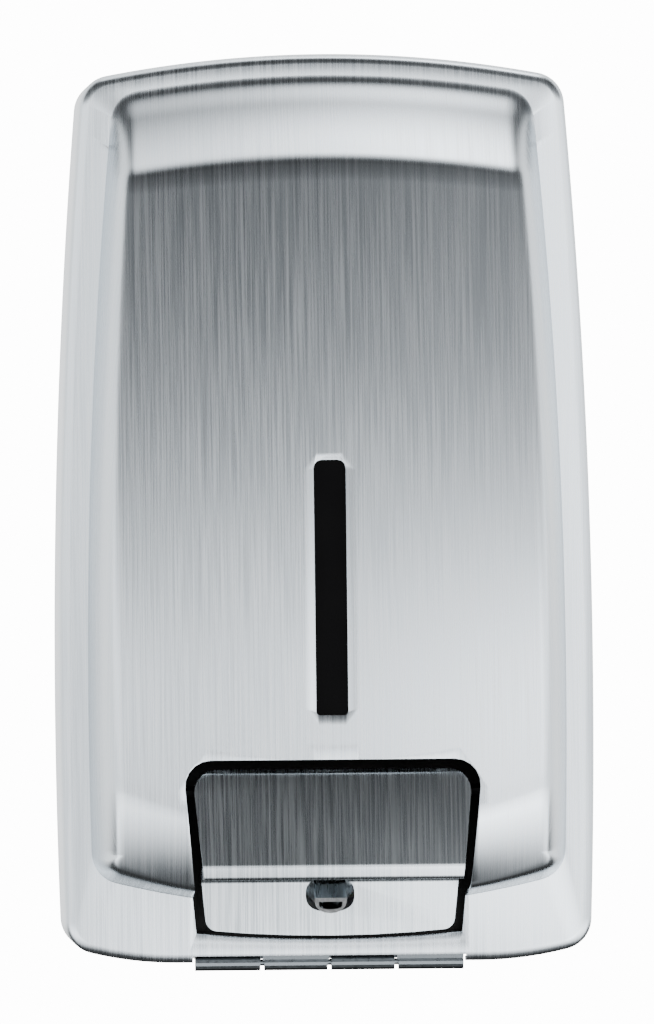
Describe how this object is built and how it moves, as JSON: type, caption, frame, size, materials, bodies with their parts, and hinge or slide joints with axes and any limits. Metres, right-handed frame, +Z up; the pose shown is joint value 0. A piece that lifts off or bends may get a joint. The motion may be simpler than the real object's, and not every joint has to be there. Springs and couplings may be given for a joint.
{
  "type": "wall mounted soap dispenser",
  "caption": "Steel wall soap dispenser: hinged domed cover with level window, push handle, inclined pump, tank with lid and cam lock.",
  "frame": {"origin": "on the wall plate's back face, at the middle of the cover's width and height", "axes": "+X to the right seen from the front, +Y into the wall, +Z up"},
  "size_m": [0.1334, 0.1079, 0.2293],
  "materials": {
    "cover_steel": "vertically brushed satin",
    "handle_steel": "brushed pad, satin chin",
    "fixing_steel": "plain rolled",
    "spout_steel": "turned and polished",
    "black_oxide_steel": "blackened",
    "spring_steel": "drawn wire",
    "smoked_acrylic": "dark polished",
    "black_abs": "fine moulded grain",
    "milky_polyethylene": "blow moulded, milky",
    "white_acetal": "smooth moulded",
    "black_rubber": "matt",
    "lock_brass": "turned"
  },
  "bodies": {
    "wall_side": {"wall_plate": "fixing_steel", "hinge_bracket": "fixing_steel", "bracket_rivet_left": "fixing_steel", "bracket_rivet_right": "fixing_steel", "leaf_rivet_left": "fixing_steel", "leaf_rivet_right": "fixing_steel", "hinge_leaf_fixed": "fixing_steel", "hinge_pin": "fixing_steel", "latch_keeper": "fixing_steel", "tank_clip_left": "fixing_steel", "tank_clip_right": "fixing_steel", "tank": "milky_polyethylene", "lid_seal": "black_rubber", "lid_pin": "fixing_steel", "pump_gasket": "black_rubber", "pump_body": "white_acetal", "pump_nut": "white_acetal", "gland_cap": "white_acetal", "inlet_cap": "white_acetal", "valve_ball": "fixing_steel", "return_spring": "spring_steel"},
    "lid": {"tank_lid": "milky_polyethylene"},
    "plunger": {"plunger": "spout_steel", "piston_seal": "black_rubber"},
    "cover": {"front_cover": "cover_steel", "window_strip": "smoked_acrylic", "window_frame": "black_abs", "handle_surround": "black_abs", "handle_pin": "black_oxide_steel", "surround_stud_left": "fixing_steel", "surround_stud_right": "fixing_steel", "surround_nut_left": "fixing_steel", "surround_nut_right": "fixing_steel", "hinge_leaf_moving": "fixing_steel", "lock_housing": "black_abs", "lock_nut": "fixing_steel"},
    "handle": {"push_handle": "handle_steel"},
    "lock": {"lock_cylinder": "lock_brass", "lock_cam": "fixing_steel", "cam_screw": "fixing_steel"}
  },
  "joints": [
    {"name": "cover_open", "type": "hinge", "parent": "wall_side", "child": "cover", "pos_m": [0, -0.0667, -0.1136], "axis": [1, 0, 0], "range_deg": [0, 110]},
    {"name": "handle_push", "type": "hinge", "parent": "cover", "child": "handle", "pos_m": [0, -0.09, -0.0705], "axis": [1, 0, 0], "range_deg": [0, 14], "stiffness_Nm_per_rad": 2, "springref_deg": -8.59},
    {"name": "plunger_slide", "type": "slide", "parent": "wall_side", "child": "plunger", "axis": [0, 0.8827, 0.4699], "range_m": [0, 0.0076], "deforming": ["return_spring"]},
    {"name": "lid_open", "type": "hinge", "parent": "wall_side", "child": "lid", "pos_m": [0, -0.0195, 0.0642], "axis": [-1, 0, 0], "range_deg": [0, 90]},
    {"name": "lock_turn", "type": "hinge", "parent": "cover", "child": "lock", "pos_m": [0, -0.042, 0.11355], "axis": [0, 0, -1], "range_deg": [0, 90]}
  ],
  "couplings": [
    {"joint": "plunger_slide", "follows": "handle_push", "m_per_rad": 0.029794}
  ]
}
